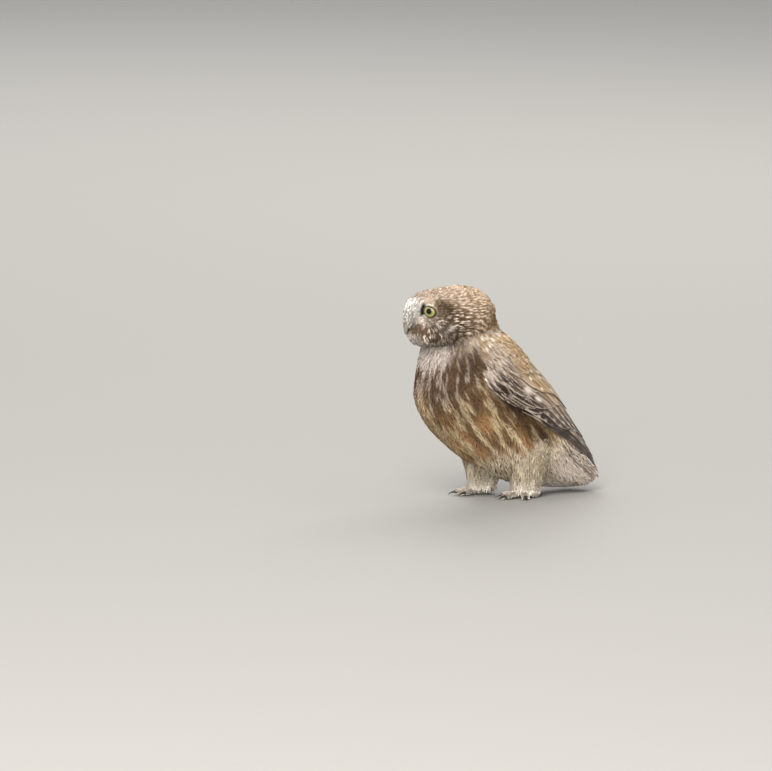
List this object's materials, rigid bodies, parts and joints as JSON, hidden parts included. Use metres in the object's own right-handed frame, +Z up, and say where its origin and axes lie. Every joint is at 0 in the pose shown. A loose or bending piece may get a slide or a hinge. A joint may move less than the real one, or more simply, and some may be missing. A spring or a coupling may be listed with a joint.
{
  "type": "little owl figure",
  "caption": "Life-size still model of a small brown owl standing on the ground, head raised, with folded wings, short tail and feathered legs.",
  "frame": {"origin": "middle of the bounding box's floor, on the ground between the feet and the tail", "axes": "+Z up, -X the way the owl faces, -Y its left side"},
  "size_m": [0.1862, 0.095, 0.1844],
  "materials": {
    "feather": "soft brown feathers with pale spots and streaks",
    "pale_feather": "soft cream feathers with brown streaks",
    "bill_horn": "smooth greenish yellow horn",
    "claw_horn": "smooth blackish horn",
    "eye": "wet pale yellow iris with a dark pupil"
  },
  "bodies": {
    "root": {"head": "feather", "neck": "feather", "torso": "pale_feather", "tail": "feather", "wing_left": "feather", "wing_right": "feather", "leg_left": "pale_feather", "leg_right": "pale_feather", "foot_left": "pale_feather", "foot_right": "pale_feather", "bill_upper": "bill_horn", "bill_lower": "bill_horn", "eye_left": "eye", "eye_right": "eye", "claw_left_inner": "claw_horn", "claw_left_middle": "claw_horn", "claw_left_outer": "claw_horn", "claw_left_hind": "claw_horn", "claw_right_inner": "claw_horn", "claw_right_middle": "claw_horn", "claw_right_outer": "claw_horn", "claw_right_hind": "claw_horn"}
  },
  "joints": []
}
